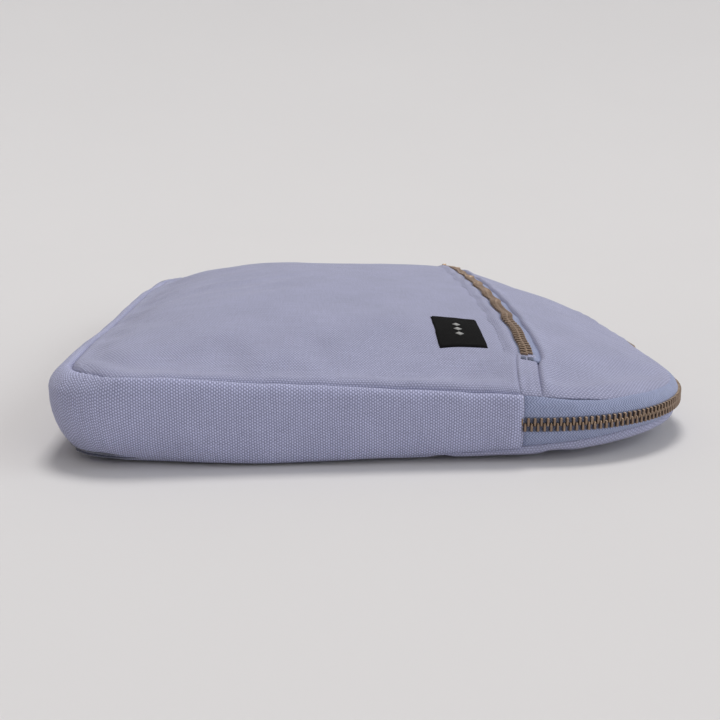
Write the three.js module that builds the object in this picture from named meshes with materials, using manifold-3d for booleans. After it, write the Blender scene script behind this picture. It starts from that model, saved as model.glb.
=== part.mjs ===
// A padded canvas laptop sleeve lying on its back, with a zipped pocket in its front.
//
// Millimetres, +Z up. The sleeve rests on its back panel. +Y runs along its long direction, and +X
// points at the mouth, the long side that the main zip closes. The origin is under the middle of
// the whole model's box, at the height of the surface that the sleeve rests on.
//
// The front has two parts. The pocket covers most of it, and the upper front panel runs from the
// pocket zip to the mouth. When the main zip is open, everything right of the fold line lifts as
// one flap, so those pieces share the flap's side of the fold line.

import * as THREE from 'three';
import * as BufferGeometryUtils from 'three/addons/utils/BufferGeometryUtils.js';
import Module from 'manifold-3d';

const wasm = await Module();
wasm.setup();

// ---------------------------------------------------------------- driving dimensions

const HALF_WIDTH = 133.7; // X, at the seams
const HALF_LENGTH = 167.5; // Y, at the seams
const BASE_CORNER_RADIUS = 33; // the two corners away from the mouth
const MOUTH_CORNER_RADIUS = 75; // the two corners that the main zip turns
const WAIST = 5.4; // how far the short sides are pulled in halfway along
const BULGE = 2.5; // how far the padded side band swells past its seams

// Heights of the two seams that run round the sleeve. Both change evenly from the base (-X) to
// the mouth (+X), because the full padding at the base thins out towards the zip.
const TOP_SEAM = { base: 34.8, mouth: 21.7 };
const BOTTOM_SEAM = { base: 0.1, mouth: 7.9 };
const CROWN = 24.5; // how far the stuffed front stands above its seam

// The layers of a wall, from the outside in.
const CANVAS = 0.9;
const POCKET_BACK = 0.6;
const FOAM = 3;
const LINING = 0.5;
const LAYER_GAP = 0.8; // left between layers, because their facets do not fall together
const GAP = 0.3; // left between pieces that touch
const LINER_INSET = 7.2; // from the seam to the edge of the flat foam and lining panels

// A number 5 metal zip.
const CHAIN_WIDTH = 5.9;
const CHAIN_THICKNESS = 2.6;
const TAPE_THICKNESS = 0.6;
const TAPE_OFFSET = 0.8; // the main zip's tape plane, measured outwards from the seam line

const GUSSET_END_X = 51.5; // where the side band's folded ends meet the main zip
const FOLD_X = 52.8; // the line that the flap folds along
const MAIN_ZIP_Z = 15.6;
const POCKET_ZIP_X = 59.7;
const POCKET_ZIP_HALF_LENGTH = 140;
const POCKET_ZIP_RISE = 1.3; // the chain's height above the canvas at the middle of its arc
const UPPER_PANEL_X = 66.5; // the seam between the pocket zip's outer tape and the upper front panel
const POCKET_SLIDER_Y = 130; // where the closed pocket slider rests

// A slider, its bail and its pull, in the slider's own frame: x across the chain, y along it, and
// z outwards from the chain's middle plane.
const SLIDER_LENGTH = 12;
const SLIDER_WIDTH = 8.6;
const SLIDER_PLATE = 1.4;
const SLIDER_CLEARANCE = 0.35;
const FLANGE = 1;
const BAIL_WIDTH = 2;
const BAIL_THICKNESS = 1;
const BAIL_SPAN = 8;
const BAIL_HEIGHT = 3.6;
const PULL_PIVOT_HEIGHT = 1.3; // the pull's crossbar above the slider's plate
const PULL_THICKNESS = 1.4;
const PULL_WIDTH = 6.5;
const PULL_LENGTH = 25;
const MAIN_SLIDER_SPACING = 6.5; // each main slider's distance from the middle of the mouth

const LABEL = { x: [23, 43.5], y: [-128.5, -95.5], thickness: 0.8 };

// ---------------------------------------------------------------- colours

const CANVAS_COLOUR = '#9a9bb0';
const TAPE_COLOUR = '#8f94b1';
const LINING_COLOUR = '#55586a';
const FOAM_COLOUR = '#d9d9d4';
const BRASS_COLOUR = '#6e5a46';
const LABEL_COLOUR = '#1f1e1f';

const fabric = (color) => new THREE.MeshStandardMaterial({ color, roughness: 0.95, metalness: 0 });
const brass = () => new THREE.MeshStandardMaterial({ color: BRASS_COLOUR, roughness: 0.45, metalness: 1 });

// ---------------------------------------------------------------- the sleeve's form

const across = (x) => x / HALF_WIDTH;
const mixSeam = (seam, x) => THREE.MathUtils.lerp(seam.base, seam.mouth, (across(x) + 1) / 2);
const topSeamZ = (x) => mixSeam(TOP_SEAM, x);
const bottomSeamZ = (x) => mixSeam(BOTTOM_SEAM, x);
const pinch = (x) => 1 - (WAIST / HALF_LENGTH) * (1 - across(x) ** 2);
const cornerRadius = (x) => (x < 0 ? BASE_CORNER_RADIUS : MOUTH_CORNER_RADIUS);

// Half the sleeve's length at x, for an outline drawn inset from the seam line.
function halfLength(x, inset = 0) {
  const radius = cornerRadius(x) - inset;
  const past = Math.max(0, Math.abs(x) - (HALF_WIDTH - inset - radius));
  const corner = radius - Math.sqrt(Math.max(0, radius * radius - past * past));
  return (HALF_LENGTH - inset - corner) * pinch(x);
}

// The outer face of the front: a cushion that falls to the seam on all sides.
function frontZ(x, y) {
  const along = Math.min(1, Math.abs(y) / halfLength(x));
  const lengthwise = 1 - (along ** 2 + along ** 4) / 2;
  const crosswise = 1 - Math.abs(across(x)) ** 3;
  return topSeamZ(x) + CROWN * lengthwise * crosswise;
}

// The outer face of the back: flat in the middle, curving up to its seam.
function backZ(x, y) {
  const out = Math.hypot(across(x) ** 2, (y / halfLength(x)) ** 2) ** 0.5;
  const curl = Math.max(0, (out - 0.5) / 0.5);
  return bottomSeamZ(x) * Math.min(1, curl ** 2);
}

// ---------------------------------------------------------------- solids

function closedSolid(positions, indices) {
  let volume = 0;
  const corner = [new THREE.Vector3(), new THREE.Vector3(), new THREE.Vector3()];
  for (let i = 0; i < indices.length; i += 3) {
    corner.forEach((point, k) => point.fromArray(positions, 3 * indices[i + k]));
    volume += corner[0].dot(corner[1].clone().cross(corner[2]));
  }
  const outward = volume > 0 ? indices : indices.slice().reverse();
  const geometry = new THREE.BufferGeometry();
  geometry.setAttribute('position', new THREE.Float32BufferAttribute(positions, 3));
  geometry.setIndex(outward);
  geometry.computeVertexNormals();
  return geometry;
}

// A solid between rings of points. Every ring has the same number of points, and the first and
// last rings are closed by flat caps.
function loft(rings, capTriangles) {
  const size = rings[0].length;
  const positions = rings.flat(2);
  const indices = [];
  for (let i = 0; i + 1 < rings.length; i += 1) {
    for (let k = 0; k < size; k += 1) {
      const a = i * size + k;
      const b = i * size + ((k + 1) % size);
      indices.push(a, b, b + size, a, b + size, a + size);
    }
  }
  const last = (rings.length - 1) * size;
  for (const [a, b, c] of capTriangles) {
    indices.push(a, c, b, last + a, last + b, last + c);
  }
  return closedSolid(positions, indices);
}

// A panel that lies over the sleeve's plan: from x0 to x1, between two heights, and in y between
// two fractions of the half length.
function panel({ x0, x1, inset = 0, low, high, rows = LENGTH_ROWS }) {
  const columns = crosswiseSteps(x0, x1);
  const ring = (x) => {
    const half = halfLength(x, inset);
    const below = rows.map((v) => [x, v * half, low(x, v * half)]);
    const above = rows.map((v) => [x, v * half, high(x, v * half)]);
    return [...below, ...above.reverse()];
  };
  const strips = [];
  const lastIndex = 2 * rows.length - 1;
  for (let j = 0; j + 1 < rows.length; j += 1) {
    strips.push([j, j + 1, lastIndex - j - 1], [j, lastIndex - j - 1, lastIndex - j]);
  }
  return loft(columns.map(ring), strips);
}

// Rows are closer together near the seams, where the front curves most.
const LENGTH_ROWS = [-1, -0.9, -0.77, -0.6, -0.4, -0.2, 0, 0.2, 0.4, 0.6, 0.77, 0.9, 1];

// The x values of a panel's columns: its own ends, and the shared ones between them. Sharing them
// keeps the layers of a wall parallel.
function crosswiseSteps(x0, x1) {
  const shared = [-129, -124, -116, -108, -100.7, -80, -55, -30, 0, 20, 40, 62, 80, 95, 108, 118, 125, 130];
  const closest = 1.2;
  const inside = shared.filter((x) => x > x0 + closest && x < x1 - closest);
  return [x0, ...inside, x1];
}

// Points along the seam line, each with its outward direction in plan. The turn covers one corner.
function seamPoint(x, y, normalX, normalY) {
  return { x, y: y * pinch(x), normal: [normalX, normalY] };
}

function corner(signX, signY, steps, fromSide) {
  const radius = signX < 0 ? BASE_CORNER_RADIUS : MOUTH_CORNER_RADIUS;
  const centre = [signX * (HALF_WIDTH - radius), signY * (HALF_LENGTH - radius)];
  const points = [];
  for (let i = 0; i <= steps; i += 1) {
    const angle = (Math.PI / 2) * (fromSide ? 1 - i / steps : i / steps);
    const normal = [signX * Math.sin(angle), signY * Math.cos(angle)];
    points.push(seamPoint(centre[0] + radius * normal[0], centre[1] + radius * normal[1], ...normal));
  }
  return points;
}

function shortSide(signY, fromX, toX, steps) {
  const points = [];
  for (let i = 0; i < steps; i += 1) {
    points.push(seamPoint(THREE.MathUtils.lerp(fromX, toX, i / steps), signY * HALF_LENGTH, 0, signY));
  }
  return points;
}

// Round the base, from one end of the main zip to the other.
function basePath() {
  const cornerX = -(HALF_WIDTH - BASE_CORNER_RADIUS);
  return [
    ...shortSide(-1, GUSSET_END_X, cornerX, 5),
    ...corner(-1, -1, 6, false),
    ...corner(-1, 1, 6, true),
    ...shortSide(1, GUSSET_END_X, cornerX, 5).reverse(),
  ];
}

// Round the mouth, the way the main zip runs.
function mouthPath(startX) {
  const cornerX = HALF_WIDTH - MOUTH_CORNER_RADIUS;
  return [
    ...shortSide(-1, startX, cornerX, 1),
    ...corner(1, -1, 9, false),
    ...corner(1, 1, 9, true),
    ...shortSide(1, startX, cornerX, 1).reverse(),
  ];
}

// A band that stands along a path. section(point) gives its cross-section as [outwards, z] pairs.
function band(path, section) {
  const ring = (point) =>
    section(point).map(([out, z]) => [point.x + out * point.normal[0], point.y + out * point.normal[1], z]);
  const outline = section(path[0]).map(([out, z]) => new THREE.Vector2(out, z));
  return loft(path.map(ring), THREE.ShapeUtils.triangulateShape(outline, []));
}

const flatSection = (outer, inner, low, high) => (point) => [
  [outer, low(point.x)],
  [outer, high(point.x)],
  [inner, high(point.x)],
  [inner, low(point.x)],
];

// A band whose outer and inner faces swell by `bulge` halfway up.
const swollenSection = (outer, inner, low, high, bulge) => (point) => {
  const z = (t) => THREE.MathUtils.lerp(low(point.x), high(point.x), t);
  const swell = (t) => bulge * Math.sin(Math.PI * t);
  const levels = [0, 0.25, 0.5, 0.75, 1];
  const outerFace = levels.map((t) => [outer + swell(t), z(t)]);
  const innerFace = levels.map((t) => [inner + swell(t), z(t)]);
  return [...outerFace, ...innerFace.reverse()];
};

// A solid made by cutting or joining others.
function toManifold(geometry) {
  const bare = geometry.clone();
  bare.deleteAttribute('normal');
  bare.deleteAttribute('uv');
  const merged = BufferGeometryUtils.mergeVertices(bare);
  return new wasm.Manifold(
    new wasm.Mesh({
      numProp: 3,
      vertProperties: new Float32Array(merged.attributes.position.array),
      triVerts: new Uint32Array(merged.index.array),
    }),
  );
}

function joined(geometries) {
  const solid = geometries.map(toManifold).reduce((sum, next) => sum.add(next));
  const mesh = solid.getMesh();
  return closedSolid(Array.from(mesh.vertProperties), Array.from(mesh.triVerts));
}

function block(x, y, z) {
  const geometry = new THREE.BoxGeometry(x[1] - x[0], y[1] - y[0], z[1] - z[0]);
  return geometry.translate((x[0] + x[1]) / 2, (y[0] + y[1]) / 2, (z[0] + z[1]) / 2);
}

// ---------------------------------------------------------------- assembly helpers

const sleeve = new THREE.Group();

function add(name, geometry, material, parent = sleeve) {
  const mesh = new THREE.Mesh(geometry, material);
  mesh.name = name;
  parent.add(mesh);
  return mesh;
}

const below = (surface, depth) => (x, y) => surface(x, y) - depth;
const above = (surface, height) => (x, y) => surface(x, y) + height;

// ---------------------------------------------------------------- back, front and their layers

const bodyEdge = FOLD_X - GAP;
const flapEdge = FOLD_X + GAP;
const innerEdge = HALF_WIDTH - LINER_INSET;

function addBack() {
  const foamLow = CANVAS + LAYER_GAP;
  const liningLow = foamLow + FOAM + LAYER_GAP;
  const liner = { x0: -innerEdge, x1: innerEdge, inset: LINER_INSET };
  const outer = { x0: -HALF_WIDTH, x1: HALF_WIDTH };
  add('back_panel', panel({ ...outer, low: backZ, high: above(backZ, CANVAS) }), fabric(CANVAS_COLOUR));
  add(
    'foam_back',
    panel({ ...liner, low: above(backZ, foamLow), high: above(backZ, foamLow + FOAM) }),
    fabric(FOAM_COLOUR),
  );
  add(
    'lining_back',
    panel({ ...liner, low: above(backZ, liningLow), high: above(backZ, liningLow + LINING) }),
    fabric(LINING_COLOUR),
  );
}

function addFront() {
  const pocketBackTop = CANVAS + LAYER_GAP;
  const foamTop = pocketBackTop + POCKET_BACK + LAYER_GAP;
  const liningTop = foamTop + FOAM + LAYER_GAP;
  const liner = { x0: -innerEdge, x1: bodyEdge, inset: LINER_INSET };
  const hiddenInset = CANVAS + 2 * GAP; // inside the side band's canvas
  add(
    'pocket_front',
    panel({ x0: -HALF_WIDTH, x1: bodyEdge, low: below(frontZ, CANVAS), high: frontZ }),
    fabric(CANVAS_COLOUR),
  );
  add(
    'pocket_back',
    panel({
      x0: -HALF_WIDTH + hiddenInset,
      x1: bodyEdge,
      inset: hiddenInset,
      low: below(frontZ, pocketBackTop + POCKET_BACK),
      high: below(frontZ, pocketBackTop),
    }),
    fabric(LINING_COLOUR),
  );
  add(
    'foam_front',
    panel({ ...liner, low: below(frontZ, foamTop + FOAM), high: below(frontZ, foamTop) }),
    fabric(FOAM_COLOUR),
  );
  add(
    'lining_front',
    panel({ ...liner, low: below(frontZ, liningTop + LINING), high: below(frontZ, liningTop) }),
    fabric(LINING_COLOUR),
  );
}

function addFlap() {
  const foamTop = CANVAS + LAYER_GAP + 2 * GAP;
  const liningTop = foamTop + FOAM + LAYER_GAP;
  const liner = { x0: flapEdge, x1: innerEdge, inset: LINER_INSET };
  add(
    'upper_front_panel',
    panel({ x0: UPPER_PANEL_X, x1: HALF_WIDTH, low: below(frontZ, CANVAS), high: frontZ }),
    fabric(CANVAS_COLOUR),
  );
  add(
    'foam_flap',
    panel({ ...liner, low: below(frontZ, foamTop + FOAM), high: below(frontZ, foamTop) }),
    fabric(FOAM_COLOUR),
  );
  add(
    'lining_flap',
    panel({ ...liner, low: below(frontZ, liningTop + LINING), high: below(frontZ, liningTop) }),
    fabric(LINING_COLOUR),
  );
}

// ---------------------------------------------------------------- side band

function addSideBand() {
  const path = basePath();
  const seamLow = (x) => bottomSeamZ(x) + CANVAS + GAP;
  const seamHigh = (x) => topSeamZ(x) - CANVAS - GAP;
  const foamHigh = (x) => seamHigh(x) - POCKET_BACK - 2 * LAYER_GAP;
  const foamOuter = -CANVAS - LAYER_GAP;
  const foamInner = foamOuter - FOAM;
  const liningOuter = foamInner - LAYER_GAP;
  add(
    'side_gusset',
    band(path, swollenSection(0, -CANVAS, seamLow, seamHigh, BULGE)),
    fabric(CANVAS_COLOUR),
  );
  add(
    'foam_gusset',
    band(path, swollenSection(foamOuter, foamInner, seamLow, foamHigh, BULGE)),
    fabric(FOAM_COLOUR),
  );
  add(
    'lining_gusset',
    band(path, swollenSection(liningOuter, liningOuter - LINING, seamLow, foamHigh, BULGE)),
    fabric(LINING_COLOUR),
  );
}

// ---------------------------------------------------------------- main zip

function addMainZip() {
  const tapeOuter = TAPE_OFFSET + TAPE_THICKNESS / 2;
  const tapeInner = TAPE_OFFSET - TAPE_THICKNESS / 2;
  const chainOuter = TAPE_OFFSET + CHAIN_THICKNESS / 2;
  const chainInner = TAPE_OFFSET - CHAIN_THICKNESS / 2;
  const halfChain = CHAIN_WIDTH / 2;
  const level = (z) => () => z;
  const lowerTape = [(x) => bottomSeamZ(x) + CANVAS + GAP, level(MAIN_ZIP_Z - halfChain - GAP)];
  const lowerTeeth = [level(MAIN_ZIP_Z - halfChain), level(MAIN_ZIP_Z - GAP / 2)];
  const upperTeeth = [level(MAIN_ZIP_Z + GAP / 2), level(MAIN_ZIP_Z + halfChain)];
  const upperTape = [level(MAIN_ZIP_Z + halfChain + GAP), (x) => topSeamZ(x) - CANVAS - GAP];
  const lowerPath = mouthPath(GUSSET_END_X + GAP);
  const upperPath = mouthPath(flapEdge);
  const tape = (path, [low, high]) => band(path, flatSection(tapeOuter, tapeInner, low, high));
  const chain = (path, [low, high]) => band(path, flatSection(chainOuter, chainInner, low, high));
  add('main_zip_tape_lower', tape(lowerPath, lowerTape), fabric(TAPE_COLOUR));
  add('main_zip_teeth_lower', chain(lowerPath, lowerTeeth), brass());
  add('main_zip_teeth_upper', chain(upperPath, upperTeeth), brass());
  add('main_zip_tape_upper', tape(upperPath, upperTape), fabric(TAPE_COLOUR));
}

// The crimped stops at the ends of the chain, hidden inside the side band's folded ends.
function addMainZipStops() {
  const stopLength = 3;
  const stopDepth = 2.2;
  const seamAway = CANVAS + FOAM + LINING + 3 * LAYER_GAP + 2 * GAP;
  const x = [GUSSET_END_X - GAP - stopLength, GUSSET_END_X - GAP];
  const z = [MAIN_ZIP_Z - CHAIN_WIDTH / 4, MAIN_ZIP_Z + CHAIN_WIDTH / 4];
  for (const [name, side] of [['main_zip_stop_near', -1], ['main_zip_stop_far', 1]]) {
    const outer = side * (halfLength(GUSSET_END_X) - seamAway);
    const y = [outer, outer - side * stopDepth].sort((a, b) => a - b);
    add(name, block(x, y, z), brass());
  }
}

// ---------------------------------------------------------------- pocket zip

// The pocket zip's chain follows one arc over the crown of the front, so that its slider can
// follow the chain by turning about the arc's centre.
const arcTopZ = frontZ(POCKET_ZIP_X, 0) + POCKET_ZIP_RISE;
const arcDrop = frontZ(POCKET_ZIP_X, 0) - frontZ(POCKET_ZIP_X, POCKET_ZIP_HALF_LENGTH);
const arcRadius = (POCKET_ZIP_HALF_LENGTH ** 2 + arcDrop ** 2) / (2 * arcDrop);
const arcZ = (y) => arcTopZ - arcRadius + Math.sqrt(arcRadius ** 2 - y ** 2);

// A strip along the arc, from x0 to x1.
function arcStrip(x0, x1, thickness) {
  const steps = 20;
  const rings = [];
  for (let i = 0; i <= steps; i += 1) {
    const y = THREE.MathUtils.lerp(-POCKET_ZIP_HALF_LENGTH, POCKET_ZIP_HALF_LENGTH, i / steps);
    const z = arcZ(y);
    rings.push([
      [x0, y, z - thickness / 2],
      [x1, y, z - thickness / 2],
      [x1, y, z + thickness / 2],
      [x0, y, z + thickness / 2],
    ]);
  }
  return loft(rings, [[0, 1, 2], [0, 2, 3]]);
}

function addPocketZip() {
  const chainLeft = POCKET_ZIP_X - CHAIN_WIDTH / 2;
  const chainRight = POCKET_ZIP_X + CHAIN_WIDTH / 2;
  const strips = [
    ['pocket_zip_tape_inner', flapEdge, chainLeft - GAP, TAPE_THICKNESS, fabric(TAPE_COLOUR)],
    ['pocket_zip_teeth_inner', chainLeft, POCKET_ZIP_X - GAP / 2, CHAIN_THICKNESS, brass()],
    ['pocket_zip_teeth_outer', POCKET_ZIP_X + GAP / 2, chainRight, CHAIN_THICKNESS, brass()],
    ['pocket_zip_tape_outer', chainRight + GAP, UPPER_PANEL_X - GAP, TAPE_THICKNESS, fabric(TAPE_COLOUR)],
  ];
  for (const [name, x0, x1, thickness, material] of strips) {
    add(name, arcStrip(x0, x1, thickness), material);
  }
}

// A canvas tab closes each end of the pocket zip, between the chain and the seam.
function addPocketTabs() {
  const end = (POCKET_ZIP_HALF_LENGTH + 2 * GAP) / halfLength(POCKET_ZIP_X);
  const tab = { x0: flapEdge, x1: UPPER_PANEL_X - GAP, low: below(frontZ, CANVAS), high: frontZ };
  const middle = (1 + end) / 2;
  add('pocket_zip_tab_near', panel({ ...tab, rows: [-1, -middle, -end] }), fabric(CANVAS_COLOUR));
  add('pocket_zip_tab_far', panel({ ...tab, rows: [end, middle, 1] }), fabric(CANVAS_COLOUR));
}

// ---------------------------------------------------------------- sliders

const plateLow = CHAIN_THICKNESS / 2 + SLIDER_CLEARANCE;
const plateHigh = plateLow + SLIDER_PLATE;

// The wing over the outside of the chain, with a flange down each side that it grips.
function sliderBody(flangeSides) {
  const half = { x: SLIDER_WIDTH / 2, y: SLIDER_LENGTH / 2 };
  const waist = 0.8;
  const outline = new THREE.Shape();
  outline.moveTo(-half.x + waist, -half.y);
  outline.lineTo(half.x - waist, -half.y);
  outline.quadraticCurveTo(half.x, -half.y, half.x, -half.y + 2);
  outline.lineTo(half.x, half.y - 3);
  outline.quadraticCurveTo(half.x, half.y, 0, half.y);
  outline.quadraticCurveTo(-half.x, half.y, -half.x, half.y - 3);
  outline.lineTo(-half.x, -half.y + 2);
  outline.quadraticCurveTo(-half.x, -half.y, -half.x + waist, -half.y);
  const plate = new THREE.ExtrudeGeometry(outline, {
    depth: SLIDER_PLATE,
    bevelEnabled: false,
    curveSegments: 4,
  }).translate(0, 0, plateLow);
  const flangeLow = TAPE_THICKNESS / 2 + SLIDER_CLEARANCE;
  const flanges = flangeSides.map((side) => {
    const x = [side * half.x, side * (half.x - FLANGE)].sort((a, b) => a - b);
    return block(x, [-half.y + 2, half.y - 3], [flangeLow, plateLow + SLIDER_PLATE / 2]);
  });
  return joined([plate, ...flanges]);
}

// The strap that bridges the plate lengthwise and holds the pull.
function bail() {
  const outer = BAIL_SPAN / 2;
  const inner = outer - BAIL_THICKNESS;
  const top = BAIL_HEIGHT;
  const side = new THREE.Shape();
  side.moveTo(-outer, 0);
  side.lineTo(-outer, top - 1.5);
  side.quadraticCurveTo(-outer, top, -outer + 1.5, top);
  side.lineTo(outer - 1.5, top);
  side.quadraticCurveTo(outer, top, outer, top - 1.5);
  side.lineTo(outer, 0);
  side.lineTo(inner, 0);
  side.lineTo(inner, top - BAIL_THICKNESS);
  side.lineTo(-inner, top - BAIL_THICKNESS);
  side.lineTo(-inner, 0);
  const strap = new THREE.ExtrudeGeometry(side, { depth: BAIL_WIDTH, bevelEnabled: false, curveSegments: 3 });
  // The outline is drawn in x and y: turn it so that its length is along y and its height along z.
  return strap
    .translate(0, 0, -BAIL_WIDTH / 2)
    .applyMatrix4(new THREE.Matrix4().set(0, 0, 1, 0, 1, 0, 0, 0, 0, 1, 0, 0, 0, 0, 0, 1))
    .translate(0, 0, plateHigh + GAP);
}

// The pull lies along +y from its crossbar, which turns under the bail.
function pull() {
  const bar = 1.4;
  const half = PULL_WIDTH / 2;
  const far = PULL_LENGTH - bar / 2;
  const outline = new THREE.Shape();
  outline.moveTo(-half, -bar / 2);
  outline.lineTo(half, -bar / 2);
  outline.lineTo(half, far - half);
  outline.absarc(0, far - half, half, 0, Math.PI, false);
  outline.lineTo(-half, -bar / 2);
  const eye = new THREE.Path();
  const eyeHalf = half - 1.25;
  const eyeEnd = bar / 2 + 4.4;
  eye.moveTo(-eyeHalf, bar / 2);
  eye.lineTo(-eyeHalf, eyeEnd);
  eye.lineTo(eyeHalf, eyeEnd);
  eye.lineTo(eyeHalf, bar / 2);
  eye.lineTo(-eyeHalf, bar / 2);
  outline.holes.push(eye);
  const plate = new THREE.ExtrudeGeometry(outline, {
    depth: PULL_THICKNESS,
    bevelEnabled: false,
    curveSegments: 8,
  });
  return plate.translate(0, 0, plateHigh + PULL_PIVOT_HEIGHT - PULL_THICKNESS / 2);
}

// `place` carries the slider's own frame to where the closed slider rests. `pullTurn` points the
// pull one way or the other along the chain.
function addSlider(prefix, place, flangeSides, pullTurn) {
  const frame = new THREE.Group();
  frame.applyMatrix4(place);
  sleeve.add(frame);
  add(`${prefix}_slider_body`, sliderBody(flangeSides), brass(), frame);
  add(`${prefix}_slider_bail`, bail(), brass(), frame);
  add(`${prefix}_pull_tab`, pull().rotateZ(pullTurn), brass(), frame);
}

// On the mouth the chain runs along Y and faces +X, so the slider's z is world X and its x points down.
function addMainSliders() {
  const chainX = HALF_WIDTH + TAPE_OFFSET;
  const facing = new THREE.Matrix4().makeBasis(
    new THREE.Vector3(0, 0, -1),
    new THREE.Vector3(0, 1, 0),
    new THREE.Vector3(1, 0, 0),
  );
  const upward = [-1]; // only the flange over the flap's half of the chain, so that the flap can lift
  for (const [prefix, side, turn] of [['main_near', -1, Math.PI], ['main_far', 1, 0]]) {
    const place = facing.clone().setPosition(chainX, side * MAIN_SLIDER_SPACING, MAIN_ZIP_Z);
    addSlider(prefix, place, upward, turn);
  }
}

function addPocketSlider() {
  const tilt = -Math.asin(POCKET_SLIDER_Y / arcRadius);
  const place = new THREE.Matrix4()
    .makeRotationX(tilt)
    .setPosition(POCKET_ZIP_X, POCKET_SLIDER_Y, arcZ(POCKET_SLIDER_Y));
  addSlider('pocket', place, [-1, 1], 0);
}

// ---------------------------------------------------------------- label

function addLabel() {
  const [x0, x1] = LABEL.x;
  const rows = [0, 0.25, 0.5, 0.75, 1].map((t) => THREE.MathUtils.lerp(...LABEL.y, t));
  const columns = [x0, (x0 + x1) / 2, x1];
  const lift = 2 * GAP;
  const ring = (x) => {
    const low = rows.map((y) => [x, y, frontZ(x, y) + lift]);
    const high = rows.map((y) => [x, y, frontZ(x, y) + lift + LABEL.thickness]);
    return [...low, ...high.reverse()];
  };
  const cap = [];
  const last = 2 * rows.length - 1;
  for (let j = 0; j + 1 < rows.length; j += 1) {
    cap.push([j, j + 1, last - j - 1], [j, last - j - 1, last - j]);
  }
  add('woven_label', loft(columns.map(ring), cap), fabric(LABEL_COLOUR));
}

// ---------------------------------------------------------------- the whole sleeve

addBack();
addSideBand();
addFront();
addFlap();
addMainZip();
addMainZipStops();
addPocketZip();
addPocketTabs();
addLabel();
addMainSliders();
addPocketSlider();

// Centre the whole model's box over the origin.
const size = new THREE.Box3().setFromObject(sleeve, true);
sleeve.position.set(-(size.min.x + size.max.x) / 2, -(size.min.y + size.max.y) / 2, -size.min.z);

export default sleeve;
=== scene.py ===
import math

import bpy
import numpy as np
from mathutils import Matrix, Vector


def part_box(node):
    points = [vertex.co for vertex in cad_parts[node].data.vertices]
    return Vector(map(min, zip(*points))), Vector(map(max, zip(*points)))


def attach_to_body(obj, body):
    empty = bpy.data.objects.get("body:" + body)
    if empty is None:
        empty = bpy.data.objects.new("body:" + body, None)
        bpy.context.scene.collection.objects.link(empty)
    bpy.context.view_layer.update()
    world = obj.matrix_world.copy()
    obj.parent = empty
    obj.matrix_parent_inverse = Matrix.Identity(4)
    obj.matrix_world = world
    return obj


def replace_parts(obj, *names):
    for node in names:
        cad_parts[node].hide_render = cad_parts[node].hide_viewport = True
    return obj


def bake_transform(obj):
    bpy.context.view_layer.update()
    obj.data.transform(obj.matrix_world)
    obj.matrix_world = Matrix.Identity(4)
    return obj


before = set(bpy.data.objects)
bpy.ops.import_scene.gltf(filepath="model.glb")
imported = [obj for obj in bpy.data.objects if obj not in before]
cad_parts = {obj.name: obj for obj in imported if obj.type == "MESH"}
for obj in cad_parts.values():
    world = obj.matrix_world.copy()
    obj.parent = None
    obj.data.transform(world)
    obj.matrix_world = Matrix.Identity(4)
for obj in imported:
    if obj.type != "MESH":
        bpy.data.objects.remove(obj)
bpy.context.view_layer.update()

# A padded canvas laptop sleeve, closed, lying on its back on a pale floor.
#
# Lengths are in millimetres in plan coordinates, whose origin is under the middle of the sleeve's
# seam line, with +Y along the sleeve and +X towards the mouth. to_frame() turns them into metres
# in the frame. Near is the -Y side and far is the +Y side.


def box_in_mm(node):
    low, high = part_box(node)
    return np.array(low) * 1000, np.array(high) * 1000


# ---- driving dimensions

PI = math.pi

back_low, back_high = box_in_mm("back_panel")
CENTRE_X = (back_low[0] + back_high[0]) / 2
HALF_WIDTH = (back_high[0] - back_low[0]) / 2
HALF_LENGTH = 167.5
BASE_CORNER_RADIUS = 33.0
MOUTH_CORNER_RADIUS = 75.0
WAIST = 5.4  # how far each side is drawn in, half way from the base to the mouth
TOP_SEAM = (34.8, 21.7)  # height at the base and at the mouth
CROWN = 24.5  # how far the middle of the front stands above its seam
SEAM_INSET = 2.5  # the two seams run this far inside the widest outline

CANVAS_THICKNESS = 0.9
LINING_THICKNESS = 0.5
TAPE_THICKNESS = 0.6
LABEL_THICKNESS = 0.5
LINER_DEPTH = 6.6  # from the canvas's outer face to the lining's inner face
LINER_GAP = 1.4  # the same at the seam
LINER_INSET = 4.5  # the linings end this far inside the widest outline

CHAIN_WIDTH = 5.9
TOOTH_PITCH = 2.54
MAIN_ZIP_Z = 15.6
MAIN_ZIP_OFFSET = 0.8  # the tape's plane, outwards from the seam line of the CAD outline
GUSSET_END_X = 51.5  # the side band's folded ends cover the main zip up to here
TEETH_START_X = 46.0
UPPER_TAPE_START_X = 40.0
POCKET_ZIP_X = 59.7
POCKET_ZIP_END = 133.0  # where the canvas tabs begin
POCKET_TAPE_REACH = 12.0
UPPER_EDGE = 5.9  # from the middle of the pocket chain to the upper panel's edge
TAB_HALF_WIDTH = 4.1
TAB_LEAN = 4.6  # the tabs lean towards the base as they near the seam

LABEL_LOW, LABEL_HIGH = box_in_mm("woven_label")
LABEL_SIZE = (20.5, 33.0)

# Everything on the front crosses the fold line between the sleeve and the flap, which lies here;
# the roof lining is cut in two at it.
BEND_END = (57.0, 0.0, 30.0)

# How the front canvas is simulated: its grid, its time and how far the result may move it.
SETTLE_COLUMNS = 57
SETTLE_ROWS = 71
SETTLE_FRAMES = 20
SETTLE_LIMIT = 1.2
SETTLE_BROAD = 24  # smoothing passes that leave only the broad form, which the padding has too
SETTLE_CLOTH = {
    "quality": 8,
    "mass": 0.3,
    "tension_stiffness": 25,
    "compression_stiffness": 25,
    "shear_stiffness": 10,
    "bending_stiffness": 0.5,
    "use_pressure": True,
    "uniform_pressure_force": 1.5,
    "shrink_min": -0.02,  # the cloth is this much larger than the shape it was given
    "vertex_group_mass": "held",
}

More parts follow.
